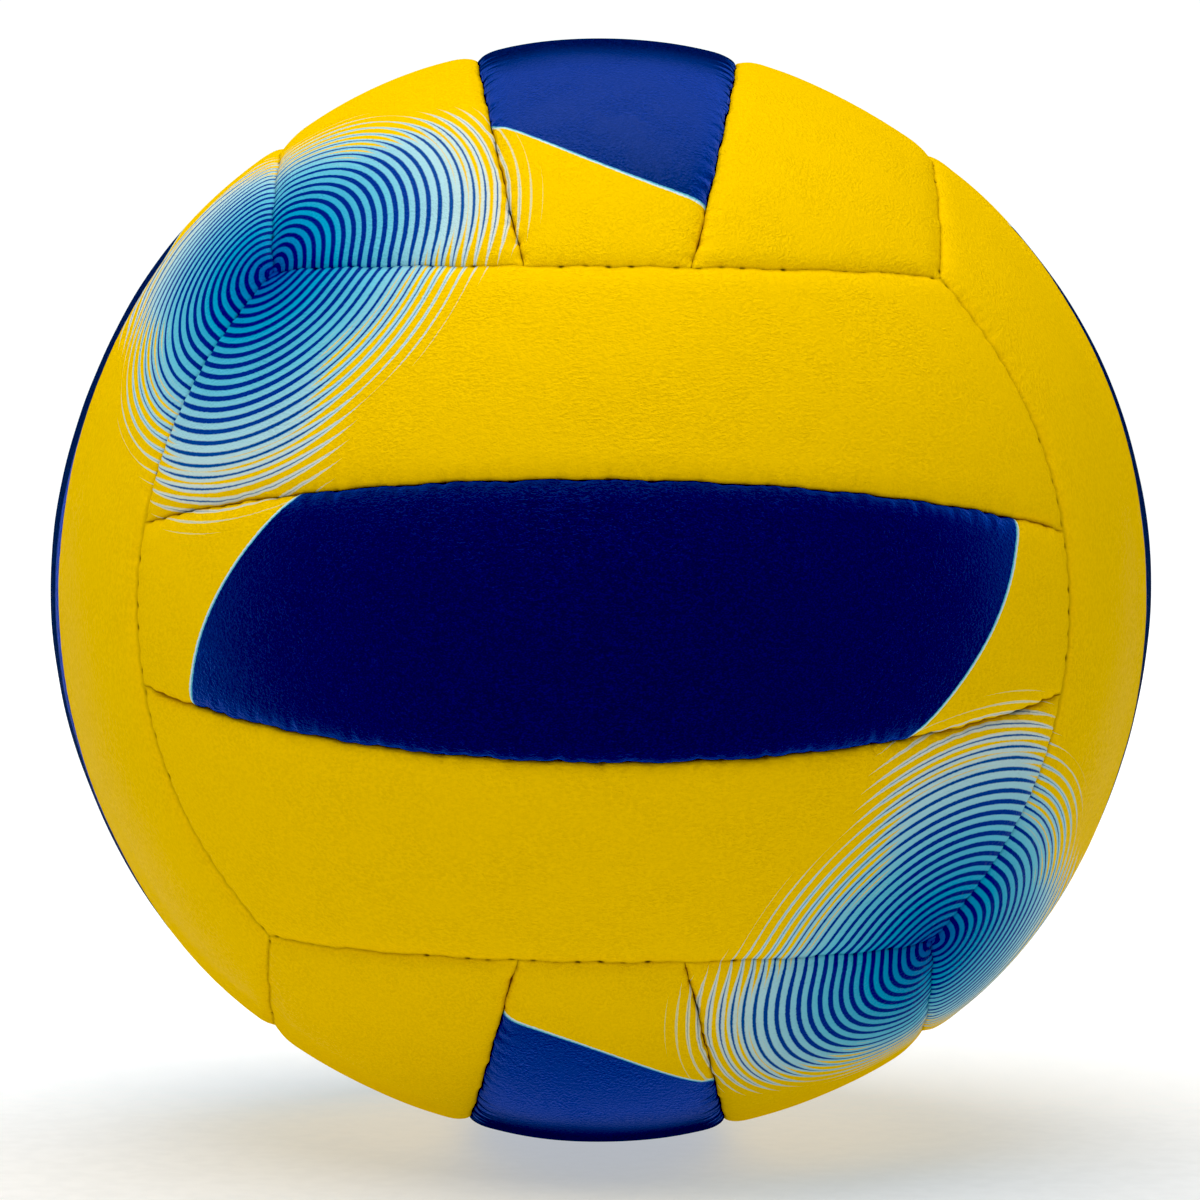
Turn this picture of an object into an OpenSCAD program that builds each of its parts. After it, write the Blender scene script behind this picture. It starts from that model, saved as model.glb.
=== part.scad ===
// Stitched 18-panel volleyball.
// The panels lie in six groups of three, one group for each face of a cube. The strips of
// the front and back groups run left to right, those of the top and bottom groups front to
// back, and those of the side groups up and down.
// Every seam is a flat cut through the sphere. Each panel is a cover with its edges turned
// in, a foam pad held between them and a cloth lining, over a rubber bladder with a needle
// valve in the middle of the back group.
// The origin is the centre of the ball, +Z is up and -Y is the front.

/* [Ball] */
// Outside diameter across the panels
ball_d = 213; // [207:0.5:216]
// Thickness of the synthetic leather cover
cover_t = 1.2; // [1:0.1:1.5]
// Thickness of the foam pad under the cover
foam_t = 3.5; // [2.8:0.1:4.5]
// Thickness of the cloth lining under the foam
lining_t = 0.8; // [0.5:0.1:1]
// Wall of the bladder
bladder_t = 1.2; // [0.9:0.1:2]

/* [Seams] */
// Angle from the middle of a group to the middle of its long edge
long_edge_angle = 35.8; // [35.4:0.1:37]
// Angle from the middle of a group to its two inner seams
inner_seam_angle = 13.7; // [12:0.1:15]
// Depth of the valley along a seam
valley_d = 1.2; // [0.6:0.1:1.4]
// Half width of the valley along a seam
valley_w = 2.4; // [1.8:0.1:3.5]
// Diameter of the stitching thread
thread_d = 0.5; // [0.3:0.05:0.6]

/* [Valve] */
// Diameter of the valve where it comes through the panel
valve_d = 9; // [8:0.5:11]
// How far the end of the valve sits below the cover
valve_sink = 0.6; // [0.3:0.1:1]
// Diameter of the hole that takes the inflating needle
needle_hole_d = 2.6; // [2.5:0.1:2.8]
// Depth of the round part of the needle hole
needle_hole_l = 10; // [8:1:12]
// Diameter of the soft plug inside the valve
plug_d = 5.2; // [4.8:0.2:5.6]
// Radius of the valve's flange inside the bladder
flange_r = 13; // [11:1:16]
// Radius of the patch round the valve
patch_r = 16; // [14:1:18]

/* [Hidden] */
$fn = 96;

r0 = ball_d / 2;              // outside of the cover
r1 = r0 - cover_t;            // cover to foam
r2 = r1 - foam_t;             // foam to lining
r3 = r2 - lining_t;           // lining to bladder
r4 = r3 - bladder_t;          // inside of the bladder
foam_inset = cover_t + thread_d + 0.2;   // foam stops short of the turned-in edge, for the thread
thread_r = r1 - 1.9;          // distance of the thread from the centre
thread_off = cover_t + thread_d / 2 + 0.05;   // distance of the thread from its seam
big = 2 * r0;

// The plane of a long edge goes through two corners of the cube and the middle of the edge.
s = 1 / sqrt(3);
ty = cos(long_edge_angle) - s;
tz = sin(long_edge_angle) - s;
tilt = atan2(tz, ty);                         // lean of that plane
h = s * cos(tilt) - s * sin(tilt);            // its distance from the centre, for radius 1
half_arc = asin(s / sqrt(1 - h * h));         // half of the edge's arc, about the plane's normal

// name, turn that takes the front group there, names of its upper, middle and lower strips
FACES = [
    ["front",  [[0, [0, 0, 1]], [0, [0, 1, 0]]],       ["upper", "middle", "lower"]],
    ["back",   [[180, [0, 0, 1]], [0, [0, 1, 0]]],     ["upper", "middle", "lower"]],
    ["top",    [[120, [-1, -1, 1]], [0, [0, 1, 0]]],   ["left", "middle", "right"]],
    ["bottom", [[120, [-1, -1, 1]], [180, [0, 1, 0]]], ["right", "middle", "left"]],
    ["left",   [[240, [-1, -1, 1]], [0, [0, 1, 0]]],   ["front", "middle", "back"]],
    ["right",  [[240, [-1, -1, 1]], [180, [0, 1, 0]]], ["front", "middle", "back"]]
];
LAYERS = ["cover", "foam", "lining"];
function panel_name(f, k, layer) = str(f[0], "_", f[2][k], "_", layer);

module on_face(f) rotate(f[1][1][0], f[1][1][1]) rotate(f[1][0][0], f[1][0][1]) children();

// Everything on the near side of a plane, whose normal is turned from +Z by a about X
module below(a, dist) rotate([a, 0, 0]) translate([-big, -big, dist - 2 * big]) cube(2 * big);

// The four planes round the front group, each moved in by t
module long_edge(side, t) mirror([0, 0, side < 0 ? 1 : 0]) below(-tilt, h * r0 - t);
module end_edge(side, t) mirror([side > 0 ? 1 : 0, 0, 0])
    rotate([0, 0, tilt]) translate([-big, -2 * big - h * r0 - t, -big]) cube(2 * big);

// Strip 0 is the upper one, 1 the middle and 2 the lower, with every edge moved in by t
module strip(k, t) {
    if (k == 1) intersection() {
        below(-inner_seam_angle, -t);
        mirror([0, 0, 1]) below(-inner_seam_angle, -t);
        end_edge(-1, t);
        end_edge(1, t);
    } else rotate([0, k == 2 ? 180 : 0, 0]) intersection() {
        long_edge(1, t);
        rotate([180 - inner_seam_angle, 0, 0]) translate([-big, -big, -t - 2 * big]) cube(2 * big);
        end_edge(-1, t);
        end_edge(1, t);
    }
}

module shell(outer, inner) difference() { sphere(outer); sphere(inner); }

// One side of the valley along a flat seam, at distance d from the centre, about +Z. It cuts
// the panel above the seam, or below it when up is -1, for an angle of reach either side of
// the direction mid. Its floor meets the seam at the given depth.
module valley(d, up, depth, mid, reach) {
    b = asin(d / (r0 - depth));
    spread = up * valley_w / r0 * (180 / PI) * (depth + 1) / depth;
    floor_p = (r0 - depth) * [cos(b), sin(b)];
    edge_p = (r0 + 1) * [cos(b + spread), sin(b + spread)];
    rotate([0, 0, mid - reach]) rotate_extrude(angle = 2 * reach) polygon([
        edge_p,
        floor_p + 0.6 * (floor_p - edge_p),
        (r0 + 3) * [cos(b - 2 * spread), sin(b - 2 * spread)]
    ]);
}

module end_valleys() for (side = [0, 1]) mirror([side, 0, 0]) rotate([90, 0, tilt])
    valley(h * r0, 1, valley_d + 0.1, 180, 75);

module side_valleys(k) {
    if (k == 1) {
        rotate([-inner_seam_angle, 0, 0]) valley(0, -1, valley_d, -90, 80);
        rotate([inner_seam_angle, 0, 0]) valley(0, 1, valley_d, -90, 80);
    } else rotate([0, k == 2 ? 180 : 0, 0]) {
        rotate([-tilt, 0, 0]) valley(h * r0, -1, valley_d, -90, 85);
        rotate([-inner_seam_angle, 0, 0]) valley(0, 1, valley_d, -90, 80);
    }
}

module valve_hole(r) rotate([90, 0, 0]) cylinder(r = r, h = 2 * r0);

// Cover: a skin whose edges are turned in down to the bladder, where they are stitched
module cover(k, hole) color(k == 1 ? [0.02, 0.05, 0.35] : [0.93, 0.72, 0.02]) difference() {
    difference() {
        difference() {
            intersection() { shell(r0, r3); strip(k, 0); }
            side_valleys(k);
        }
        end_valleys();
    }
    intersection() { sphere(r1); strip(k, cover_t); }
    if (hole) valve_hole(valve_d / 2 + 0.1);
}

module foam(k, hole) color([0.93, 0.93, 0.9]) difference() {
    intersection() { shell(r1, r2); strip(k, foam_inset); }
    if (hole) valve_hole(valve_d / 2 + 0.1);
}

module lining(k, hole) color([0.86, 0.85, 0.8]) difference() {
    intersection() { shell(r2, r3); strip(k, cover_t); }
    if (hole) valve_hole(patch_r);
}

// A pair of threads, one each side of a flat seam at distance d from the centre, from angle
// a to b measured about +Z from the -Y side
module thread_pair(d, a, b) rotate([0, 0, a - 90]) rotate_extrude(angle = b - a)
    for (z = [d - thread_off, d + thread_off])
        translate([sqrt(thread_r * thread_r - z * z), z]) circle(d = thread_d, $fn = 24);

// The thread stops short of each place where another seam comes in
inner_reach = 90 - asin(h / cos(tilt)) - 2.5;
edge_gap = 2.6;
meet = asin(sin(inner_seam_angle) * sqrt(s * s * 2) / sqrt(1 - h * h));

module inner_seam_thread() color([0.85, 0.82, 0.7]) for (f = FACES, m = [0, 1])
    on_face(f) mirror([0, 0, m]) rotate([-inner_seam_angle, 0, 0])
        thread_pair(0, -inner_reach, inner_reach);

module edge_seam_thread() color([0.85, 0.82, 0.7]) for (f = FACES, m = [0, 1])
    on_face(f) mirror([0, 0, m]) rotate([-tilt, 0, 0]) {
        thread_pair(h * r0, -half_arc + edge_gap, -meet - edge_gap);
        thread_pair(h * r0, -meet + edge_gap, meet - edge_gap);
        thread_pair(h * r0, meet + edge_gap, half_arc - edge_gap);
    }

// The valve parts stand on +Z and are turned to the back
module at_valve() rotate([-90, 0, 0]) children();
valve_top = r0 - valve_sink;
plug_head_r = plug_d / 2 + 0.8;
plug_bottom = valve_top - 17;

module bladder() color([0.12, 0.12, 0.12]) at_valve() difference() {
    sphere(r3);
    sphere(r4);
    cylinder(d = valve_d, h = 2 * r0);
}

module valve_patch() color([0.2, 0.2, 0.2]) at_valve() difference() {
    intersection() { shell(r2, r3); cylinder(r = patch_r, h = 2 * r0); }
    cylinder(d = valve_d, h = 2 * r0);
}

module valve_housing() color([0.09, 0.09, 0.1]) at_valve() difference() {
    union() {
        translate([0, 0, plug_bottom - 2]) cylinder(d = valve_d, h = valve_top - plug_bottom + 2 - 0.4);
        translate([0, 0, valve_top - 0.4]) cylinder(d1 = valve_d, d2 = valve_d - 0.8, h = 0.4);
        intersection() { shell(r4, r4 - 1.2); cylinder(r = flange_r, h = 2 * r0); }
    }
    translate([0, 0, plug_bottom]) cylinder(d = plug_d, h = 30);
    translate([0, 0, valve_top - 1.4]) cylinder(r = plug_head_r, h = 10);
}

module valve_plug() color([0.75, 0.74, 0.7]) at_valve() difference() {
    union() {
        translate([0, 0, plug_bottom]) cylinder(d = plug_d, h = valve_top - 0.3 - plug_bottom);
        translate([0, 0, valve_top - 1.4]) cylinder(r = plug_head_r, h = 1.1);
    }
    translate([0, 0, valve_top - 0.9 - needle_hole_l]) cylinder(d = needle_hole_d, h = 30);
    translate([0, 0, valve_top - 0.9]) cylinder(d1 = needle_hole_d, d2 = needle_hole_d + 1.2, h = 0.6);
    translate([0, 0, valve_top - 0.3]) cylinder(d = needle_hole_d + 1.2, h = 5);
}

for (f = FACES) for (k = [0:2]) {
    on_face(f) cover(k, f[0] == "back" && k == 1);
    on_face(f) foam(k, f[0] == "back" && k == 1);
    on_face(f) lining(k, f[0] == "back" && k == 1);
}
inner_seam_thread();
edge_seam_thread();
bladder();
valve_patch();
valve_housing();
valve_plug();
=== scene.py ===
"""Volleyball: eighteen stitched panels over foam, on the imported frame. Every length here is in
millimetres until a mesh is written, which is in metres."""
import math
import bpy
import numpy as np
from mathutils import Matrix, Vector


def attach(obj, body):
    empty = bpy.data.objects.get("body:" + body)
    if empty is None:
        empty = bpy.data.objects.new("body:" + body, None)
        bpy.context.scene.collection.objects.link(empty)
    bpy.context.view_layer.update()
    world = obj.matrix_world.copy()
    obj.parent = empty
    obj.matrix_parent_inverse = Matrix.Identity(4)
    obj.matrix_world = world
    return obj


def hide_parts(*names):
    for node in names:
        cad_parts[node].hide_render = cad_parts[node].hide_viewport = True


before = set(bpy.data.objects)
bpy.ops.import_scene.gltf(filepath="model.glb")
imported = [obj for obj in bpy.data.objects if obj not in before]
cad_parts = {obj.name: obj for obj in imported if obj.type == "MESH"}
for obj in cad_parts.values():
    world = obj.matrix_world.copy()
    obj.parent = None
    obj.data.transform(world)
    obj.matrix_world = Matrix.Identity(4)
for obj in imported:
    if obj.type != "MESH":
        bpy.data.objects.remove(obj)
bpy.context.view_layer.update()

MM = 0.001

# ---------------------------------------------------------------- sizes, the same as the CAD's
R0 = 106.5                       # outside of a cover
R1 = 105.3                       # its inside, where the foam starts
R3 = 101.0                       # foot of the turned-in edges
COVER_T = 1.2
INNER = math.radians(13.7)       # seam planes between the strips of a group
_s = 1 / math.sqrt(3)
_a = math.radians(35.8)
TILT = math.atan2(math.sin(_a) - _s, math.cos(_a) - _s)
H = _s * math.cos(TILT) - _s * math.sin(TILT)    # edge seam planes' distance, in radii
CT, ST = math.cos(TILT), math.sin(TILT)
RHO = R0 * math.sqrt(1 - H * H)                  # radius of an edge seam's circle
HALF_ARC = math.acos(CT * _s / math.sqrt(1 - H * H) + ST * _s / math.sqrt(1 - H * H))
GAP = 0.004                      # half of the gap between two sewn edges

N_TOP, E_TOP = np.array([0, ST, CT]), np.array([0, -CT, ST])
N_L, E_L = np.array([ST, -CT, 0.0]), np.array([-CT, -ST, 0.0])
N_R, E_R = N_L * [-1, 1, 1], E_L * [-1, 1, 1]
N_IN = np.array([0, math.sin(INNER), math.cos(INNER)])


def sphere_point(lam, th):
    return np.stack([np.sin(lam), -np.cos(lam) * np.cos(th), np.cos(lam) * np.sin(th)], -1)


def end_angle(th, h):
    a, b = CT * np.cos(th), ST
    return np.arccos(np.clip(h / np.hypot(a, b), -1, 1)) - np.arctan2(b, a)


def top_angle(lam, h):
    return TILT + np.arcsin(np.clip(h / np.cos(lam), -1, 1))


def strip_dirs(k, uv):
    """Directions of the points (u, v) of the outer strip (k = 0) or the middle strip (k = 1)."""
    u, v = uv[:, 0], uv[:, 1]
    h_e, h_t = H + GAP / R0, H - GAP / R0
    lam = u * 0.9
    th = np.zeros_like(u)
    for _ in range(40):
        g = GAP / (R0 * np.cos(lam))
        lo = (INNER + g) if k == 0 else (g - INNER)
        hi = top_angle(lam, h_t) if k == 0 else (INNER - g)
        th = lo + v * (hi - lo)
        lam = u * end_angle(th, h_e)
    return sphere_point(lam, th)


# ---------------------------------------------------------------- stitches along a seam
rng = np.random.default_rng(20431)


def seam_stitches(length, count):
    pitch = length / count
    at = (np.arange(count) + 0.5) * pitch - length / 2 + rng.normal(0, 0.16, count)
    return {"at": at, "deep": rng.uniform(0.45, 1.25, count), "side": rng.normal(0, 0.1, count),
            "pitch": pitch, "n": count, "half": length / 2}


INNER_HALF = float(end_angle(np.array([INNER]), H)[0])
EDGE_SEAM = seam_stitches(2 * HALF_ARC * RHO, 33)
INNER_SEAM = seam_stitches(2 * INNER_HALF * R0, 47)


def nearest_stitch(seam, sigma):
    i = np.clip(((sigma + seam["half"]) / seam["pitch"]).astype(int), 0, seam["n"] - 1)
    best, deep, side = None, None, None
    for j in (i - 1, i, i + 1):
        j = np.clip(j, 0, seam["n"] - 1)
        c = sigma - seam["at"][j]
        if best is None:
            best, deep, side = c, seam["deep"][j], seam["side"][j]
        else:
            near = np.abs(c) < np.abs(best)
            best = np.where(near, c, best)
            deep = np.where(near, seam["deep"][j], deep)
            side = np.where(near, seam["side"][j], side)
    return best, deep, side


# ---------------------------------------------------------------- smooth seeded noise on the ball
_waves = []
for freq, amp in ((5.0, 0.16), (9.0, 0.10), (17.0, 0.045), (31.0, 0.022), (52.0, 0.012)):
    for _ in range(7):
        d = rng.normal(size=3)
        _waves.append((d / np.linalg.norm(d) * freq * rng.uniform(0.8, 1.25), rng.uniform(0, 6.28), amp / 2.4))


def lumps(p, lo, hi):
    """Low waves over the whole ball, in world directions. lo and hi choose the band of waves."""
    out = np.zeros(len(p))
    for i, (k, ph, amp) in enumerate(_waves):
        if lo <= i // 7 < hi:
            out += amp * np.sin(p @ k + ph)
    return out


# Camera of the photograph, found by fitting the seams. The swells are where the
# real ball's outline is a little outside or inside the circle.
E = (Matrix.Rotation(math.radians(3.0697), 3, "X") @ Matrix.Rotation(math.radians(0.5342), 3, "Y")
     @ Matrix.Rotation(math.radians(0.3524), 3, "Z"))
EN = np.array(E)
SWELLS = [(139, 0.85, 11), (323, 0.75, 12), (62, -0.75, 13), (241, -0.55, 12), (178, 0.25, 14), (8, 0.2, 14)]


def swell(p):
    out = np.zeros(len(p))
    for deg, amp, wide in SWELLS:
        a = math.radians(deg)
        c = EN.T @ np.array([math.cos(a), -0.1, math.sin(a)])
        c /= np.linalg.norm(c)
        out += amp * np.exp(-((np.degrees(np.arccos(np.clip(p @ c, -1, 1))) / wide) ** 2))
    return out


def shoulder(p):
    """The front strips of the left and right groups stand a little proud of their middle strips."""
    az = np.degrees(np.arctan2(np.abs(p[:, 0]), -p[:, 1]))
    high = np.clip((p[:, 2] - 0.05) / 0.4, 0, 1)
    high = high * high * (3 - 2 * high)
    amp = np.where(p[:, 0] > 0, 0.80 + 0.62 * high, 0.46 + 0.80 * high) * np.exp(-(p[:, 2] / 0.80) ** 8)
    dip = 1.05 * np.minimum(amp, 1.05)         # the skin stays clear of its own inside
    return amp * np.exp(-((az - 73.4) / 2.3) ** 2) - dip * np.exp(-((az - 82.5) / 5.0) ** 2)


# ---------------------------------------------------------------- the shape of one panel
EDGES = {
    0: [("edge", N_TOP, E_TOP, H, -1), ("edge", N_L, E_L, H, 1), ("edge", N_R, E_R, H, 1), ("inner", N_IN, None, 0, 1)],
    1: [("inner", N_IN, None, 0, -1), ("edge", N_L, E_L, H, 1), ("edge", N_R, E_R, H, 1),
        ("inner", N_IN * [1, 1, -1], None, 0, -1)],
}


def seam_frame(k, p):
    """For each edge of the panel: distance from it, place along it, its plane and its side."""
    out = []
    for i, (kind, n, e, h, side) in enumerate(EDGES[k]):
        s = R0 * (np.arcsin(np.clip(p @ n, -1, 1)) - math.asin(h)) * side
        if kind == "inner":
            lam = np.arcsin(np.clip(p[:, 0], -1, 1))
            along = R0 * lam * (-1 if (k == 1 and i == 3) else 1)
            seam = INNER_SEAM
        else:
            t = p[:, 0] if i == 0 else (-p[:, 2] if i == 1 else p[:, 2])
            along = RHO * np.arctan2(t, p @ e)
            s = np.where(np.abs(along) > 1.5 * RHO, 99.0, s)     # the far side of the seam's circle
            seam = EDGE_SEAM
        out.append((kind, s, along, n, h, side, seam))
    return out


W_EDGE, W_INNER = 5.8, 5.0
D_EDGE, D_INNER = 0.95, 1.35
CORNERS = np.array([[a, b, c] for a in (-1, 1) for b in (-1, 1) for c in (-1, 1)]) / math.sqrt(3)


def smooth(x):
    x = np.clip(x, 0, 1)
    return x * x * (3 - 2 * x)


def panel_surface(k, p, world):
    """The outside of a panel at the base directions p. world turns them to where the panel is."""
    round_in = np.zeros(len(p))
    crown = np.ones(len(p))
    dent = np.zeros(len(p))
    side_move = np.zeros((len(p), 3))
    hole = np.zeros(len(p))
    near = np.full(len(p), 99.0)
    wall_n = np.zeros((len(p), 3))
    wall_d = np.ones(len(p))
    edge_share = np.zeros(len(p))
    # three groups meet at a corner: there the skin goes straight in, so the edges stay together
    to_corner = R0 * np.arccos(np.clip(np.max(p @ CORNERS.T, axis=1), -1, 1))
    off_corner = smooth(to_corner / 9.0)
    for i, (kind, s, along, n, h, side, seam) in enumerate(seam_frame(k, p)):
        s = np.maximum(s, 0)
        w = W_EDGE if kind == "edge" else W_INNER
        c, deep, off = nearest_stitch(seam, along)
        wide = 1 + 0.10 * np.sin(along / 9.0 + 1.3) + 0.06 * np.sin(along / 3.7)
        t = np.clip(1 - s / (w * wide), 0, 1)
        round_in += t ** 5
        crown *= 1 - 0.92 * np.exp(-s / 7.5)
        near = np.minimum(near, s)
        edge_share = np.maximum(edge_share, t * (kind == "edge"))
        # a stitch pulls the two edges down, and between stitches they bulge a little
        g = np.exp(-(c / 0.9) ** 2)
        tight = 0.45 if kind == "edge" else 1.0
        dent += tight * deep * (0.26 * g - 0.08) * np.exp(-(s / 1.4) ** 1.6)
        dent += tight * deep * 0.075 * np.cos(2 * math.pi * c / seam["pitch"]) * np.exp(-(s / 3.0) ** 1.5)
        pull = tight * 0.08 * deep * np.exp(-(c / 0.55) ** 4) * np.exp(-(s / 0.35) ** 2)
        if kind == "inner":          # looser than the cut edges' seams, so a dark gap shows
            wave = np.sin(along / 1.55 + 1.4 * np.sin(along / 5.3))
            loose = 0.10 + 0.07 * wave if k == 1 else 0.04 + 0.02 * wave
            pull = pull + loose * np.exp(-(s / 0.5) ** 2)
        # the seam line itself wanders: one panel moves out as much as its neighbour moves in
        sway = 0.055 * np.sin(along / 0.86 + 1.7 * np.sin(along / 6.1)) + 0.12 * np.sin(along / 2.3 + 0.7 + np.sin(along / 9.0))
        sway *= (1 if (i == 0 or kind == "inner") and not (kind == "inner" and k == 1) else -1) * off_corner
        side_move += ((pull + sway * np.exp(-(s / 1.6) ** 2)) * side)[:, None] * n[None, :]
        # where a stitch hole shows, which the materials paint dark as shade
        seen = (1.0 if kind == "edge" else 0.3) * np.clip((deep - 0.90) / 0.3, 0, 1)
        hole = np.maximum(hole, seen * np.exp(-(c / 0.5) ** 4) * np.exp(-(s / 0.26) ** 2))
        # short gathers that run in from the seam
        dent += 0.035 * np.sin(along * 2 * math.pi / 2.3 + 2.0 * np.sin(along / 5.1)) * np.exp(-((s - 1.8) / 1.4) ** 2)
        # away from the corners the skin goes down along the seam's plane
        k_w = np.exp(-(s / 5.0) ** 2) * off_corner
        wall_n += (k_w * h)[:, None] * n[None, :]
        wall_d -= k_w * h * h
    t = np.minimum(round_in, 1) ** 0.2
    on_edge = smooth(edge_share * 2.5)
    steep = 0.55 - 0.51 * on_edge
    down = (D_INNER + (D_EDGE - D_INNER) * on_edge) * (
        steep * (1 - np.sqrt(1 - t ** 2.4)) + (1 - steep) * t ** 2.6) + dent
    pw = p @ world.T
    low = lumps(pw, 0, 2) + swell(pw) + shoulder(pw)
    fine = lumps(pw, 2, 5) * np.clip(near / 3.0, 0, 1)
    top = -0.30 + 0.80 * crown + low * np.clip(0.25 + near / 9.0, 0, 1) + fine
    step = (p - wall_n) / wall_d[:, None]
    pos = p * (R0 + top)[:, None] - step * down[:, None] + side_move
    return pos, near, hole


# ---------------------------------------------------------------- print: attributes for the materials
CORNER = np.array([-1.0, -1.0, 1.0]) / math.sqrt(3)
CORNER_2 = np.array([1.0, -1.0, -1.0]) / math.sqrt(3)


def ripple(p):
    """Distance from the nearest printed corner in mm, and how far the rings still reach there."""
    q_best, left_best = None, None
    for c in (CORNER, CORNER_2):
        q = R0 * np.arccos(np.clip(p @ c, -1, 1))
        # azimuth about the corner, from the direction of the long edge seam of the front group
        e1 = np.array([1.0, 0, 0]) - c * c[0]
        if c is CORNER_2:
            e1 = -e1
        e1 /= np.linalg.norm(e1)
        e2 = np.cross(c, e1)
        az = np.arctan2(p @ e2, p @ e1)
        reach = 50.5 + 6.5 * np.cos(3 * (az - 0.16)) + 1.8 * np.cos(9 * az + 0.8)
        left = reach - q
        if q_best is None:
            q_best, left_best = q, left
        else:
            near = q < q_best
            q_best, left_best = np.where(near, q, q_best), np.where(near, left, left_best)
    return q_best, left_best


def block(p):
    """Distance inside the plain dark block of a middle strip, in mm (negative outside)."""
    lam = np.degrees(np.arcsin(np.clip(p[:, 0], -1, 1)))
    th = np.degrees(np.arctan2(p[:, 2], -p[:, 1]))

    def end(t):
        return 41.2 - 0.447 * t - 0.0197 * t ** 2 - 0.00028 * t ** 3
    slope = 0.447 + 0.039 * np.abs(th)
    tilt_share = 1 / np.sqrt(1 + slope ** 2 / 1.4)
    left, right = lam + end(th), end(-th) - lam
    return np.radians(np.minimum(left, right)) * R0 * tilt_share


# ---------------------------------------------------------------- topology: nested rings
def rect_ring(na, nb, du, dv, v_lo, v_hi):
    """(u, v) of a closed ring, na steps on the long sides and nb on the ends, inset by du, dv."""
    a, b = np.linspace(-1 + du, 1 - du, na + 1), np.linspace(v_lo + dv, v_hi - dv, nb + 1)
    lo, hi = np.full(na, v_lo + dv), np.full(na, v_hi - dv)
    left, right = np.full(nb, -1 + du), np.full(nb, 1 - du)
    return np.concatenate([np.c_[a[:-1], lo], np.c_[right, b[:-1]], np.c_[a[:0:-1], hi], np.c_[left, b[:0:-1]]])


def join_same(a, b, n, flip=False):
    """Quads between two rings of n points that start at a and b."""
    i = np.arange(n)
    j = (i + 1) % n
    q = np.c_[a + i, a + j, b + j, b + i]
    return (q[:, ::-1] if flip else q).tolist()


def join_half(a, b, n, flip=False):
    """Triangles from a ring of 2 n points at a to one of n points at b."""
    out = []
    for i in range(n):
        f0, f1, f2 = a + 2 * i, a + 2 * i + 1, a + (2 * i + 2) % (2 * n)
        c0, c1 = b + i, b + (i + 1) % n
        out += [[f0, f1, c0], [f1, c1, c0], [f1, f2, c1]]
    return [t[::-1] for t in out] if flip else out


class Sheet:
    """Collects the points and faces of one base panel."""

    def __init__(self, k):
        self.k, self.n = k, 0
        self.parts, self.faces = [], []

    def add(self, dirs, kind, **how):
        start = self.n
        self.parts.append((dirs, kind, how))
        self.n += len(dirs)
        return start


def grid_ids(start, ring_start, na, nb):
    """Ids of a (nb + 1) x (na + 1) grid whose border is a ring and whose inside starts at start."""
    ids = np.zeros((nb + 1, na + 1), int)
    ring = ring_start + np.arange(2 * (na + nb))
    ids[0, :na] = ring[:na]
    ids[:nb, na] = ring[na:na + nb]
    ids[nb, na:0:-1] = ring[na + nb:2 * na + nb]
    ids[nb:0:-1, 0] = ring[2 * na + nb:]
    ids[1:nb, 1:na] = start + np.arange((nb - 1) * (na - 1)).reshape(nb - 1, na - 1)
    return ids


def fill(sheet, k, na, nb, du, dv, v_lo, v_hi, ring_start, kind, flip, hole=None):
    """The grid inside a ring. hole = (bx, by) leaves out a block of cells in the middle and
    returns its border ids, counter-clockwise from its lower left corner."""
    u, v = np.linspace(-1 + du, 1 - du, na + 1)[1:-1], np.linspace(v_lo + dv, v_hi - dv, nb + 1)[1:-1]
    uu, vv = np.meshgrid(u, v)
    start = sheet.add(strip_dirs(k, np.c_[uu.ravel(), vv.ravel()]), kind)
    ids = grid_ids(start, ring_start, na, nb)
    keep = np.ones((nb, na), bool)
    border = None
    if hole:
        x0, x1, y0, y1 = na // 2 - hole[0], na // 2 + hole[0], nb // 2 - hole[1], nb // 2 + hole[1]
        keep[y0:y1, x0:x1] = False
        border = np.concatenate([ids[y0, x0:x1], ids[y0:y1, x1], ids[y1, x1:x0:-1], ids[y1:y0:-1, x0]])
    q = np.stack([ids[:-1, :-1], ids[:-1, 1:], ids[1:, 1:], ids[1:, :-1]], -1)[keep]
    sheet.faces += (q[:, ::-1] if flip else q).tolist()
    return border


HOLE_R = 4.6


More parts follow.
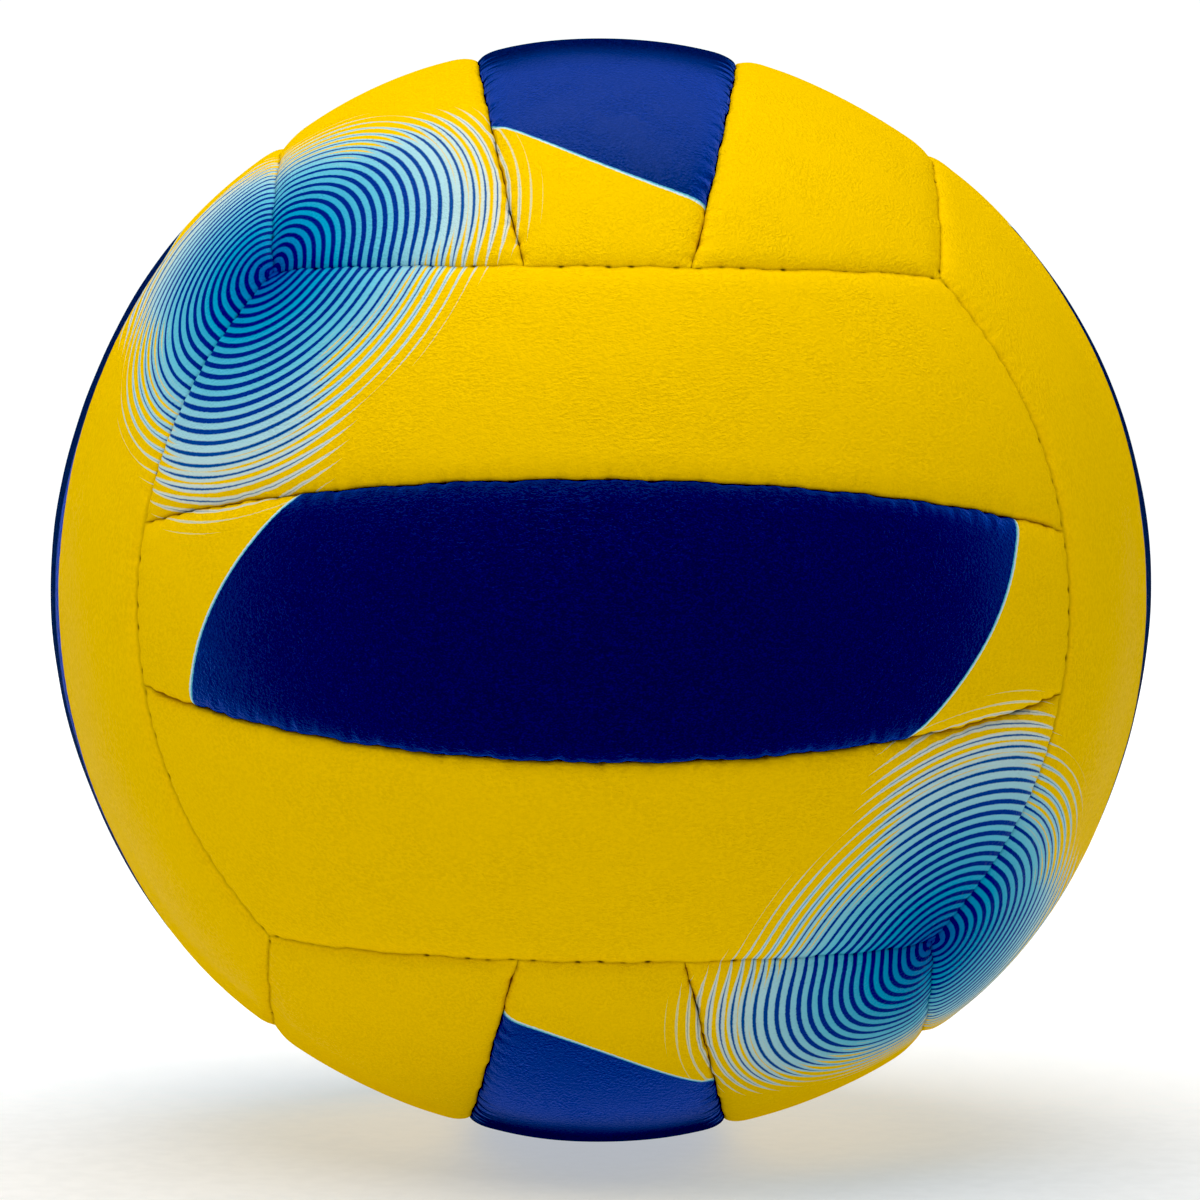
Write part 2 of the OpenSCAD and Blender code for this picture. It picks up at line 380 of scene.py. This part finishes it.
def build_sheet(k, valve=False):
    sh = Sheet(k)
    A, B = (128, 36) if k == 0 else (128, 24)
    v_lo, v_hi = 0.0, 1.0
    half_len, height = (92.0, 41.5) if k == 0 else (96.0, 45.0)
    fine = [0.0, 0.07, 0.2, 0.38, 0.6, 0.9, 1.3, 1.8, 2.4, 3.1]
    mid = [4.0, 5.1, 6.4]
    ring = lambda s, m: strip_dirs(k, rect_ring(A * m, B * m, s / half_len, s / height, v_lo, v_hi))
    n4, n2, n1 = 2 * (4 * A + 4 * B), 2 * (2 * A + 2 * B), 2 * (A + B)
    # outside, from the seam inwards
    rings = [sh.add(ring(s, 4), "top") for s in fine]
    for a, b in zip(rings[:-1], rings[1:]):
        sh.faces += join_same(a, b, n4)
    rings2 = [sh.add(ring(s, 2), "top") for s in mid]
    sh.faces += join_half(rings[-1], rings2[0], n2)
    for a, b in zip(rings2[:-1], rings2[1:]):
        sh.faces += join_same(a, b, n2)
    r1 = sh.add(ring(8.0, 1), "top")
    sh.faces += join_half(rings2[-1], r1, n1)
    block_cells = (7, 6)
    border = fill(sh, k, A, B, 8.0 / half_len, 8.0 / height, v_lo, v_hi, r1, "top", False, block_cells if valve else None)
    # the turned-in edge: down the seam plane, round its foot and up inside
    edge = ring(0.0, 4)
    w1 = sh.add(edge, "wall", r=R3 + 2.0)
    w2 = sh.add(edge, "wall", r=R3)
    in0 = ring(0.0, 4)
    w3 = sh.add(in0, "inner_wall", r=R3, t=COVER_T - 0.1)
    w4 = sh.add(in0, "inner_wall", r=R1 - 0.75, t=COVER_T - 0.1)
    sh.faces += join_same(w1, rings[0], n4) + join_same(w2, w1, n4) + join_same(w3, w2, n4) + join_same(w4, w3, n4)
    # the inside
    i2 = sh.add(ring(2.3, 2), "under", r=R1 + 0.02)
    sh.faces += join_half(w4, i2, n2, True)
    i1 = sh.add(ring(4.5, 1), "under", r=R1 + 0.02)
    sh.faces += join_half(i2, i1, n1, True)
    if valve:
        inner_border = fill(sh, k, A, B, 4.5 / half_len, 4.5 / height, v_lo, v_hi, i1, "under", True, block_cells)
    else:
        inner = strip_dirs(k, rect_ring(A // 2, B // 2, 7.0 / half_len, 7.0 / height, v_lo, v_hi))
        i0 = sh.add(inner, "under", r=R1 + 0.02)
        sh.faces += join_half(i1, i0, (A + B), True)
        fill(sh, k, A // 2, B // 2, 7.0 / half_len, 7.0 / height, v_lo, v_hi, i0, "under", True)
    if valve:
        n = len(border)
        dirs_all = np.concatenate([d for d, _, _ in sh.parts])
        b_out, b_in = dirs_all[border], dirs_all[inner_border]

        def loop(base, rho, blend):
            az = np.arctan2(base[:, 2], base[:, 0])
            flat_r = np.hypot(base[:, 0], base[:, 2]) * R0
            rr = flat_r * (1 - blend) + rho * blend
            return az, rr

        def dirs(az, rr):
            x, z = rr * np.cos(az) / R0, rr * np.sin(az) / R0
            return np.stack([x, -np.sqrt(1 - x * x - z * z), z], -1)

        def double(az, rr):
            nxt = np.roll(az, -1)
            gap = (nxt - az + math.pi) % (2 * math.pi) - math.pi
            a2 = np.stack([az, az + gap / 2], -1).ravel()
            r2 = np.stack([rr, (rr + np.roll(rr, -1)) / 2], -1).ravel()
            return a2, r2

        last = None
        for rho, mix in ((7.8, 0.45), (7.2, 0.75), (6.6, 0.93), (6.1, 1.0)):
            az, rr = loop(b_out, rho, mix)
            now = sh.add(dirs(az, rr), "top")
            if last is None:
                ids = border
                sh.faces += [[int(ids[i]), int(ids[(i + 1) % n]), now + (i + 1) % n, now + i] for i in range(n)]
            else:
                sh.faces += join_same(last, now, n)
            last = now
        az2, _ = double(az, rr)
        prev = None
        for rho in (5.75, 5.5, 5.25, 5.05, 4.9, 4.78, 4.69, 4.63, HOLE_R):
            now = sh.add(dirs(az2, np.full(2 * n, rho)), "lip", rho=rho)
            if prev is None:
                for i in range(n):
                    c0, c1 = last + i, last + (i + 1) % n
                    f0, f1, f2 = now + 2 * i, now + 2 * i + 1, now + (2 * i + 2) % (2 * n)
                    sh.faces += [[c0, f1, f0], [c0, c1, f1], [c1, f2, f1]]
            else:
                sh.faces += join_same(prev, now, 2 * n)
            prev = now
        down = sh.add(dirs(az2, np.full(2 * n, HOLE_R)), "bore", r=R1 + 0.02)
        sh.faces += join_same(prev, down, 2 * n)
        azi, rri = loop(b_in, 8.0, 0.7)
        in_a = sh.add(dirs(azi, rri), "under", r=R1 + 0.02)
        sh.faces += [[int(inner_border[(i + 1) % n]), int(inner_border[i]), in_a + i, in_a + (i + 1) % n] for i in range(n)]
        for i in range(n):
            c0, c1 = in_a + i, in_a + (i + 1) % n
            f0, f1, f2 = down + 2 * i, down + 2 * i + 1, down + (2 * i + 2) % (2 * n)
            sh.faces += [[c0, f0, f1], [c0, f1, c1], [c1, f1, f2]]
    return sh


def wall_position(k, p, r, t):
    """A point under the edge point p: on the seam planes moved in by t, at radius r."""
    out = []
    frames = seam_frame(k, p)
    pos = p * r
    for _ in range(12):
        for kind, s, along, n, h, side, seam in frames:
            on = s < 0.35
            want = h * R0 + side * (t + GAP)
            miss = np.where(on | (side * (pos @ n - want) < 0), want - pos @ n, 0.0)
            pos = pos + miss[:, None] * n[None, :]
        pos *= (r / np.linalg.norm(pos, axis=1))[:, None]
    return pos


def place_sheet(sh, world):
    """Positions of every point of a base panel where world turns it, and the attributes."""
    k = sh.k
    pos, near, hole, base, top_flag = [], [], [], [], []
    for dirs, kind, how in sh.parts:
        if kind == "top" or kind == "lip":
            q, s, hl = panel_surface(k, dirs, world)
            if kind == "lip":
                t = min(max(1 - (how["rho"] - HOLE_R) / 0.75, 0), 1)
                q = q * (1 - (0.55 * (1 - math.sqrt(1 - t * t))) / R0)
                x, z = dirs[:, 0] * R0, dirs[:, 2] * R0
                rr = np.linalg.norm(q, axis=1)
                q = np.stack([x, -np.sqrt(rr ** 2 - x * x - z * z), z], -1)
        elif kind == "wall":
            q = wall_position(k, dirs, how["r"], 0.0)
            s, hl = np.zeros(len(dirs)), np.zeros(len(dirs))
        elif kind == "inner_wall":
            q = wall_position(k, dirs, how["r"], how["t"])
            s, hl = np.zeros(len(dirs)), np.zeros(len(dirs))
        elif kind == "bore":
            x, z = dirs[:, 0] * R0, dirs[:, 2] * R0
            q = np.stack([x, -np.sqrt(how["r"] ** 2 - x * x - z * z), z], -1)
            s, hl = np.full(len(dirs), 9.0), np.zeros(len(dirs))
        else:
            q = dirs * (R1 + 0.02)
            s, hl = np.full(len(dirs), 9.0), np.zeros(len(dirs))
        pos.append(q @ world.T)
        near.append(s)
        hole.append(hl)
        base.append(dirs)
        top_flag.append(np.full(len(dirs), 1.0 if kind in ("top", "lip") else 0.0))
    base = np.concatenate(base)
    ring_q, ring_left = ripple(base)
    attrs = {"seam": np.concatenate(near), "hole": np.concatenate(hole), "ring": ring_q, "reach": ring_left,
             "block": block(base) if k == 1 else np.full(len(base), -50.0), "strip": base * R0 * MM}
    return np.concatenate(pos), attrs


# ---------------------------------------------------------------- the turns of the six groups
def turn(deg, axis):
    return np.array(Matrix.Rotation(math.radians(deg), 3, Vector(axis).normalized()))


FACES = [
    ("front", turn(0, (0, 0, 1)), ("upper", "middle", "lower")),
    ("back", turn(180, (0, 0, 1)), ("upper", "middle", "lower")),
    ("top", turn(120, (-1, -1, 1)), ("left", "middle", "right")),
    ("bottom", turn(180, (0, 1, 0)) @ turn(120, (-1, -1, 1)), ("right", "middle", "left")),
    ("left", turn(240, (-1, -1, 1)), ("front", "middle", "back")),
    ("right", turn(180, (0, 1, 0)) @ turn(240, (-1, -1, 1)), ("front", "middle", "back")),
]
FLIP = turn(180, (0, 1, 0))


# ---------------------------------------------------------------- node helpers
class Tree:
    def __init__(self, name):
        self.mat = bpy.data.materials.new(name)
        self.mat.use_nodes = True
        self.nt = self.mat.node_tree
        self.nt.nodes.clear()
        self.out = self.node("ShaderNodeOutputMaterial")

    def node(self, kind, ins=None, **props):
        n = self.nt.nodes.new(kind)
        for a, b in props.items():
            setattr(n, a, b)
        for key, val in (ins or {}).items():
            sock = n.inputs[key]
            if isinstance(val, bpy.types.NodeSocket):
                self.nt.links.new(val, sock)
            else:
                sock.default_value = val
        return n

    def math(self, op, a, b=0.0, c=None, clamp=False):
        ins = {0: a, 1: b}
        if c is not None:
            ins[2] = c
        return self.node("ShaderNodeMath", ins, operation=op, use_clamp=clamp).outputs[0]

    def step(self, val, lo, hi, to_lo=0.0, to_hi=1.0):
        return self.node("ShaderNodeMapRange", {"Value": val, "From Min": lo, "From Max": hi, "To Min": to_lo,
                                                "To Max": to_hi}, interpolation_type="SMOOTHSTEP").outputs["Result"]

    def attr(self, name):
        return self.node("ShaderNodeAttribute", attribute_name=name, attribute_type="GEOMETRY").outputs["Fac"]

    def mix(self, fac, a, b):
        n = self.node("ShaderNodeMix", data_type="RGBA", blend_type="MIX")
        for sock, val in ((n.inputs["Factor"], fac), (n.inputs[6], a), (n.inputs[7], b)):
            if isinstance(val, bpy.types.NodeSocket):
                self.nt.links.new(val, sock)
            else:
                sock.default_value = val
        return n.outputs[2]

    def ramp(self, fac, stops, mode="LINEAR"):
        n = self.node("ShaderNodeValToRGB", {"Fac": fac})
        n.color_ramp.interpolation = mode
        while len(n.color_ramp.elements) < len(stops):
            n.color_ramp.elements.new(0.5)
        for el, (at, col) in zip(n.color_ramp.elements, stops):
            el.position, el.color = at, col
        return n.outputs["Color"]

    def coords(self):
        return self.node("ShaderNodeTexCoord").outputs["Object"]

    def noise(self, vec, scale, detail=2.0, rough=0.5, distort=0.0):
        return self.node("ShaderNodeTexNoise", {"Vector": vec, "Scale": scale, "Detail": detail, "Roughness": rough,
                                                "Distortion": distort}).outputs["Fac"]

    def voronoi(self, vec, scale, feature="F1", rand=1.0):
        return self.node("ShaderNodeTexVoronoi", {"Vector": vec, "Scale": scale, "Randomness": rand},
                         feature=feature).outputs["Distance"]

    def principled(self, colour, rough, normal=None, **consts):
        n = self.node("ShaderNodeBsdfPrincipled")
        for key, val in consts.items():
            n.inputs[key.replace("_", " ")].default_value = val
        for key, val in (("Base Color", colour), ("Roughness", rough), ("Normal", normal)):
            if val is None:
                continue
            if isinstance(val, bpy.types.NodeSocket):
                self.nt.links.new(val, n.inputs[key])
            else:
                n.inputs[key].default_value = val
        self.nt.links.new(n.outputs["BSDF"], self.out.inputs["Surface"])
        return self.mat

    def bump(self, height, strength, distance, normal=None):
        n = self.node("ShaderNodeBump", {"Height": height, "Strength": strength, "Distance": distance})
        if normal is not None:
            self.nt.links.new(normal, n.inputs["Normal"])
        return n.outputs["Normal"]


def rgb(r, g, b):
    """An sRGB colour 0-255 as a linear one."""
    f = lambda c: c / 12.92 if c <= 0.04045 else ((c + 0.055) / 1.055) ** 2.4
    return (f(r / 255), f(g / 255), f(b / 255), 1.0)


# the second yellow is a painted shade colour for the grain's hollows
YELLOW, YELLOW_HOLLOW_SHADE = rgb(237, 194, 0), rgb(210, 167, 0)
# the second navy is a painted glint colour for the grain's crests
NAVY, NAVY_GLINT = rgb(4, 26, 57), rgb(12, 41, 102)


def leather(name, dark_block):
    """Soft coated cloth: fine wrinkled grain, a screen print, and stitch holes painted dark as shade."""
    t = Tree(name)
    xyz = t.coords()
    seam, hole = t.attr("seam"), t.attr("hole")
    # grain: soft pebbles about 0.5 mm high by 1 mm long, lying along the strip, and a finer tooth
    lay = t.node("ShaderNodeAttribute", attribute_name="strip", attribute_type="GEOMETRY").outputs["Vector"]
    lay = t.node("ShaderNodeVectorMath", {0: lay, 1: (0.6, 1.0, 1.0)}, operation="MULTIPLY").outputs[0]
    pebble = t.noise(lay, 1900.0, 2.0, 0.55, 0.15)
    tooth = t.noise(lay, 4300.0, 1.0)
    patches = t.noise(xyz, 95.0, 2.0, 0.6)
    pebble = t.math("MULTIPLY", t.math("SUBTRACT", pebble, 0.5), t.step(patches, 0.36, 0.64, 0.6, 1.3))
    h = t.math("MULTIPLY_ADD", t.math("SUBTRACT", tooth, 0.5), 0.3, pebble)
    normal = t.bump(h, 0.85, 0.00032)
    facing = t.node("ShaderNodeLayerWeight", {"Blend": 0.5}).outputs["Facing"]
    # colour: yellow with slow, faint variation
    tone = t.step(h, -0.16, 0.16)
    yellow = t.mix(t.step(patches, 0.3, 0.75, 0.0, 0.35), YELLOW, rgb(241, 198, 0))
    # up to 30 per cent darker in the grain's hollows: painted shade there and painted highlight on the crests, partly
    # lighter worn crests
    yellow = t.mix(t.math("MULTIPLY_ADD", tone, -0.30, 0.30), yellow, YELLOW_HOLLOW_SHADE)
    # printed rings round the corner: dark near it, then cyan, pale, and thin lines on yellow
    ring, reach = t.attr("ring"), t.attr("reach")
    along = t.math("MULTIPLY_ADD", tone, 0.06, ring)
    wave = t.math("PINGPONG", t.math("ADD", along, 200.0), 1.05)       # 0 on a line, 1.05 mm between
    share = t.math("MINIMUM", t.step(reach, -2.0, 30.0, -0.12, 0.50), t.step(ring, 0.0, 10.0, 0.72, 0.5))
    line = t.step(t.math("SUBTRACT", share, wave), -0.13, 0.13)
    far = t.math("DIVIDE", ring, 60.0, clamp=True)
    ground = t.ramp(far, [
        (0.00, rgb(8, 60, 146)), (0.10, rgb(10, 116, 172)), (0.24, rgb(22, 150, 190)), (0.42, rgb(96, 184, 208)),
        (0.60, rgb(164, 208, 218)), (0.78, rgb(210, 216, 202)), (0.92, rgb(224, 208, 110))])
    ink = t.ramp(far, [
        (0.00, rgb(6, 20, 100)), (0.25, rgb(10, 34, 122)), (0.5, rgb(16, 56, 142)), (0.75, rgb(24, 86, 150)),
        (1.00, rgb(50, 120, 144))])
    # between the lines the pale ground gives way to yellow, first in the middle of each gap
    cover = t.step(t.math("SUBTRACT", t.math("MULTIPLY_ADD", reach, 0.07, -0.2), wave), -0.14, 0.14)
    printed = t.mix(cover, yellow, ground)
    printed = t.mix(line, printed, ink)
    colour = printed
    tint = (0.42, 0.35, 0.08, 1.0)
    if dark_block:
        blk = t.math("MULTIPLY_ADD", tone, 0.10, t.attr("block"))
        # lighter navy on the grain's crests: painted glints on the wrinkles, partly lighter worn crests
        navy_crest_glint = t.math("MULTIPLY_ADD", t.math("SUBTRACT", tooth, 0.5), 0.9, t.math("MULTIPLY", pebble, 0.5))
        navy = t.mix(t.step(navy_crest_glint, -0.10, 0.26), NAVY, NAVY_GLINT)
        trim = t.mix(t.step(blk, -0.38, -0.22), rgb(196, 220, 224), rgb(92, 176, 200))
        colour = t.mix(t.step(blk, -0.70, -0.60), printed, trim)
        is_navy = t.step(blk, -0.06, 0.06)
        colour = t.mix(is_navy, colour, navy)
        tint = t.mix(is_navy, tint, (0.07, 0.20, 1.0, 1.0))
    # the seams are painted darker as shade in the crease, and the stitch holes are painted dark as shade in them
    seam_crease_shade = t.mix(cover, rgb(92, 58, 4), rgb(8, 22, 70))
    stitch_hole_shade = t.mix(cover, rgb(44, 22, 8), rgb(6, 10, 34))
    if dark_block:
        seam_crease_shade = t.mix(is_navy, seam_crease_shade, rgb(8, 10, 26))
    # painted crease shade: up to 28 per cent darker within 0.7 mm of a seam
    colour = t.mix(t.step(seam, 0.0, 0.7, 0.28, 0.0), colour, seam_crease_shade)
    # painted shade in the stitch holes
    colour = t.mix(t.math("MULTIPLY", hole, 0.9), colour, stitch_hole_shade)
    rough = t.step(h, -0.15, 0.15, 0.72, 0.62)
    if dark_block:
        glossy = t.step(h, -0.15, 0.15, 0.60, 0.48)
        rough = t.node("ShaderNodeMix", {"Factor": is_navy, "A": rough, "B": glossy}, data_type="FLOAT").outputs["Result"]
    # the soft coating has no bright rim where it turns away
    rough = t.math("MAXIMUM", rough, t.step(facing, 0.55, 0.92))
    mat = t.principled(colour, rough, normal, IOR=1.5, Specular_IOR_Level=0.2)
    node = next(n for n in t.nt.nodes if n.type == "BSDF_PRINCIPLED")
    if isinstance(tint, bpy.types.NodeSocket):
        t.nt.links.new(tint, node.inputs["Specular Tint"])
    else:
        node.inputs["Specular Tint"].default_value = tint
    if dark_block:
        # the navy alone has a soft blue sheen, and none at the very edge
        sheen = t.math("MULTIPLY", t.step(facing, 0.18, 0.50, 0.28, 1.0), t.step(facing, 0.66, 0.86, 1.0, 0.0))
        sheen = t.math("MULTIPLY", is_navy, sheen)
        t.nt.links.new(sheen, node.inputs["Sheen Weight"])
        node.inputs["Sheen Roughness"].default_value = 0.6
        node.inputs["Sheen Tint"].default_value = (0.07, 0.16, 1.0, 1.0)
    return mat


MAT_OUTER = leather("coated_leather_outer", False)
MAT_MIDDLE = leather("coated_leather_middle", True)


# ---------------------------------------------------------------- make the eighteen panels
def make_mesh(name, sh):
    me = bpy.data.meshes.new(name)
    me.from_pydata(np.zeros((sh.n, 3)).tolist(), [], sh.faces)
    me.polygons.foreach_set("use_smooth", np.ones(len(me.polygons), bool))
    for a in ("seam", "hole", "ring", "reach", "block"):
        me.attributes.new(a, "FLOAT", "POINT")
    me.attributes.new("strip", "FLOAT_VECTOR", "POINT")
    return me


sheets = {"outer": build_sheet(0), "middle": build_sheet(1), "valve": build_sheet(1, True)}
base_mesh = {key: make_mesh("panel_" + key, sh) for key, sh in sheets.items()}
panels = []
for group, M, names in FACES:
    for k, which in enumerate(names):
        node = f"{group}_{which}_cover"
        key = "middle" if k == 1 else "outer"
        if k == 1 and group == "back":
            key = "valve"
        world = M @ FLIP if k == 2 else M
        pos, attrs = place_sheet(sheets[key], world)
        me = base_mesh[key].copy()
        me.name = f"{group}_{which}_panel"
        me.vertices.foreach_set("co", (pos * MM).astype(np.float32).ravel())
        shift = rng.normal(0, 0.22)
        attrs["ring"] = attrs["ring"] + shift
        attrs["reach"] = attrs["reach"] + rng.normal(0, 0.8)
        attrs["strip"] = attrs["strip"] + rng.uniform(-0.4, 0.4, 3)
        for a, val in attrs.items():
            me.attributes[a].data.foreach_set("vector" if a == "strip" else "value", val.astype(np.float32).ravel())
        me.update()
        me.materials.append(MAT_MIDDLE if k == 1 else MAT_OUTER)
        ob = bpy.data.objects.new(f"{group}_{which}_panel", me)
        bpy.context.scene.collection.objects.link(ob)
        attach(ob, "root")
        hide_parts(node)
        panels.append(ob)
for me in base_mesh.values():
    bpy.data.meshes.remove(me)


# ---------------------------------------------------------------- materials of the CAD nodes
def foam_material():
    t = Tree("closed_cell_foam")
    xyz = t.coords()
    cells = t.voronoi(xyz, 1500.0, "DISTANCE_TO_EDGE")
    big = t.voronoi(xyz, 620.0, "F1")
    h = t.math("ADD", t.step(cells, 0.0, 0.2), t.math("MULTIPLY", big, 0.5))
    tone = t.mix(t.step(cells, 0.0, 0.14), rgb(196, 196, 186), rgb(236, 236, 228))
    tone = t.mix(t.step(t.noise(xyz, 60.0, 3.0), 0.35, 0.7, 0.0, 0.35), tone, rgb(222, 220, 206))
    return t.principled(tone, t.step(t.noise(xyz, 900.0), 0.3, 0.7, 0.72, 0.88), t.bump(h, 0.6, 0.0002),
                        Specular_IOR_Level=0.25)


def weave_material(name, warp, weft, scale):
    t = Tree(name)
    xyz = t.coords()
    w1 = t.node("ShaderNodeTexWave", {"Vector": xyz, "Scale": scale, "Distortion": 0.6, "Detail": 1.0},
                wave_type="BANDS", bands_direction="DIAGONAL").outputs["Fac"]
    flip = t.node("ShaderNodeVectorMath", {0: xyz, 1: (1.0, -1.0, 1.0)}, operation="MULTIPLY").outputs[0]
    w2 = t.node("ShaderNodeTexWave", {"Vector": flip, "Scale": scale, "Distortion": 0.6, "Detail": 1.0},
                wave_type="BANDS", bands_direction="DIAGONAL").outputs["Fac"]
    over = t.math("GREATER_THAN", w1, w2)
    h = t.math("MAXIMUM", w1, w2)
    tone = t.mix(over, warp, weft)
    # darker between the threads: painted shade in the gaps of the weave
    tone = t.mix(t.step(h, 0.5, 0.05, 0.0, 0.5), tone, rgb(120, 112, 96))
    return t.principled(tone, t.step(h, 0.2, 0.9, 0.92, 0.78), t.bump(h, 0.7, 0.0003), Specular_IOR_Level=0.2,
                        Sheen_Weight=0.2)


def thread_material():
    t = Tree("waxed_thread")
    xyz = t.coords()
    ply = t.node("ShaderNodeTexWave", {"Vector": xyz, "Scale": 900.0, "Distortion": 0.4}, wave_type="BANDS",
                 bands_direction="DIAGONAL").outputs["Fac"]
    fuzz = t.noise(xyz, 5200.0, 2.0)
    tone = t.mix(t.step(ply, 0.15, 0.8), rgb(150, 134, 96), rgb(214, 202, 164))
    tone = t.mix(t.step(fuzz, 0.5, 0.8, 0.0, 0.3), tone, rgb(236, 228, 204))
    return t.principled(tone, t.step(fuzz, 0.3, 0.7, 0.55, 0.75), t.bump(ply, 0.6, 0.0001), Sheen_Weight=0.15)


def rubber_material(name, base, high, bloom, rough_lo, rough_hi, mark):
    t = Tree(name)
    xyz = t.coords()
    skin = t.noise(xyz, 1300.0, 3.0, 0.6)
    flow = t.noise(xyz, 45.0, 4.0, 0.55, 0.6)
    fine = t.voronoi(xyz, 2400.0, "F1")
    tone = t.mix(t.step(flow, 0.3, 0.75), base, high)
    tone = t.mix(t.step(skin, 0.55, 0.8, 0.0, bloom), tone, mark)
    h = t.math("ADD", t.math("MULTIPLY", skin, 0.6), t.math("MULTIPLY", fine, 0.3))
    return t.principled(tone, t.step(skin, 0.25, 0.75, rough_lo, rough_hi), t.bump(h, 0.35, 0.00012),
                        Specular_IOR_Level=0.45)


MAT_FOAM = foam_material()
MAT_LINING = weave_material("cotton_lining", rgb(226, 222, 208), rgb(206, 200, 182), 260.0)
MAT_THREAD = thread_material()
MAT_BLADDER = rubber_material("butyl_bladder", rgb(24, 24, 26), rgb(36, 36, 38), 0.3, 0.42, 0.6, rgb(66, 66, 66))
MAT_PATCH = rubber_material("valve_patch_rubber", rgb(46, 46, 48), rgb(58, 58, 60), 0.25, 0.6, 0.78, rgb(84, 84, 82))
MAT_HOUSING = rubber_material("valve_housing_rubber", rgb(20, 20, 22), rgb(32, 32, 36), 0.25, 0.36, 0.52, rgb(60, 60, 64))
MAT_PLUG = rubber_material("valve_plug_rubber", rgb(188, 184, 172), rgb(204, 200, 188), 0.35, 0.44, 0.6, rgb(226, 224, 214))

for name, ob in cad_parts.items():
    if name.endswith("_cover"):
        continue
    mat = (MAT_FOAM if name.endswith("_foam") else MAT_LINING if name.endswith("_lining") else
           MAT_THREAD if name.endswith("_thread") else
           {"bladder": MAT_BLADDER, "valve_patch": MAT_PATCH, "valve_housing": MAT_HOUSING, "valve_plug": MAT_PLUG}[name])
    if not ob.material_slots:
        ob.data.materials.append(mat)
    for s in ob.material_slots:
        s.material = mat

# ---------------------------------------------------------------- floor, light and camera
FLOOR_Z = -0.1067


def floor_material():
    t = Tree("paper_floor")
    xyz = t.coords()
    fibre = t.noise(xyz, 240.0, 3.0)
    tone = t.mix(t.step(fibre, 0.3, 0.7), rgb(180, 180, 180), rgb(186, 186, 186))
    mat = t.principled(tone, t.step(fibre, 0.3, 0.7, 0.82, 0.9), t.bump(fibre, 0.1, 0.0002), Specular_IOR_Level=0.15)
    # the floor glows as painted light: 0.37 near the ball, rising to 0.90 far out and 0.64 behind it, so that it runs
    # into the white backdrop, the shadow under the ball stays light and the ball is lit from below
    away = t.node("ShaderNodeVectorMath", {0: xyz}, operation="LENGTH").outputs["Value"]
    node = next(n for n in t.nt.nodes if n.type == "BSDF_PRINCIPLED")
    node.inputs["Emission Color"].default_value = (0.95, 0.99, 1.0, 1.0)
    behind = t.node("ShaderNodeSeparateXYZ", {0: xyz}).outputs["Y"]
    painted_floor_glow = t.math("MAXIMUM", t.step(away, 0.12, 1.6, 0.37, 0.90), t.step(behind, -0.2, 0.25, 0.37, 0.64))
    t.nt.links.new(painted_floor_glow, node.inputs["Emission Strength"])
    return mat


floor_mesh = bpy.data.meshes.new("floor")
n_seg = 96
pts = [(0, 0, FLOOR_Z)] + [(4 * math.cos(2 * math.pi * i / n_seg), 4 * math.sin(2 * math.pi * i / n_seg), FLOOR_Z)
                           for i in range(n_seg)]
floor_mesh.from_pydata(pts, [], [(0, i + 1, (i + 1) % n_seg + 1) for i in range(n_seg)])
floor_mesh.materials.append(floor_material())
floor = bpy.data.objects.new("floor", floor_mesh)
bpy.context.scene.collection.objects.link(floor)

scene = bpy.context.scene
world = bpy.data.worlds.new("studio")
scene.world = world
world.use_nodes = True
wt = world.node_tree
bg = wt.nodes["Background"]
sky_dir = wt.nodes.new("ShaderNodeTexCoord")
sky_xyz = wt.nodes.new("ShaderNodeSeparateXYZ")
low = wt.nodes.new("ShaderNodeMapRange")       # a white horizon all round, and a dim room above it
low.interpolation_type = "SMOOTHSTEP"
for sock, val in (("From Min", 0.08), ("From Max", 0.15), ("To Min", 1.02), ("To Max", 0.09)):
    low.inputs[sock].default_value = val
wt.links.new(sky_dir.outputs["Generated"], sky_xyz.inputs[0])
wt.links.new(sky_xyz.outputs["Z"], low.inputs["Value"])
wt.links.new(low.outputs["Result"], bg.inputs["Strength"])
bg.inputs["Color"].default_value = (0.965, 1.0, 0.99, 1.0)


def area(name, loc, aim, size, power, colour=(1, 1, 1)):
    d = bpy.data.lights.new(name, "AREA")
    d.shape, d.size, d.size_y, d.energy, d.color = "RECTANGLE", size[0], size[1], power, colour
    o = bpy.data.objects.new(name, d)
    o.location = loc
    o.rotation_euler = (Vector(aim) - Vector(loc)).to_track_quat("-Z", "Y").to_euler()
    scene.collection.objects.link(o)
    return o


area("ceiling_softbox", (-0.2, -0.28, 2.6), (0, 0, 0), (2.4, 3.1), 104.0, (1.0, 0.972, 0.95))
area("front_softbox", (-0.7, -1.9, 0.9), (0, 0, 0), (1.1, 0.8), 2.4)

cam_data = bpy.data.cameras.new("photo_camera")
cam = bpy.data.objects.new("photo_camera", cam_data)
scene.collection.objects.link(cam)
scene.camera = cam
dist = 9.3224 * R0 * MM
Et = E.transposed()
right, fwd, up = Et @ Vector((1, 0, 0)), Et @ Vector((0, 1, 0)), Et @ Vector((0, 0, 1))
m = Matrix(((right.x, up.x, -fwd.x), (right.y, up.y, -fwd.y), (right.z, up.z, -fwd.z)))
cam.rotation_euler = m.to_euler()
cam.location = -fwd * dist
cam_data.sensor_width = 36.0
cam_data.lens = 152.83
cam_data.shift_x = -1.658 / 1200
cam_data.shift_y = -9.867 / 1200
cam_data.clip_start, cam_data.clip_end = 0.05, 60.0

scene.view_settings.view_transform = "Standard"
scene.view_settings.look = "None"
scene.view_settings.exposure = 0.0
scene.view_settings.gamma = 1.0
# the photograph's deep blacks and clean white: both ends of the range are cut a little
scene.view_settings.use_curve_mapping = True
scene.view_settings.curve_mapping.black_level = (0.021, 0.021, 0.021)
scene.view_settings.curve_mapping.white_level = (0.97, 0.97, 0.97)
scene.view_settings.curve_mapping.update()
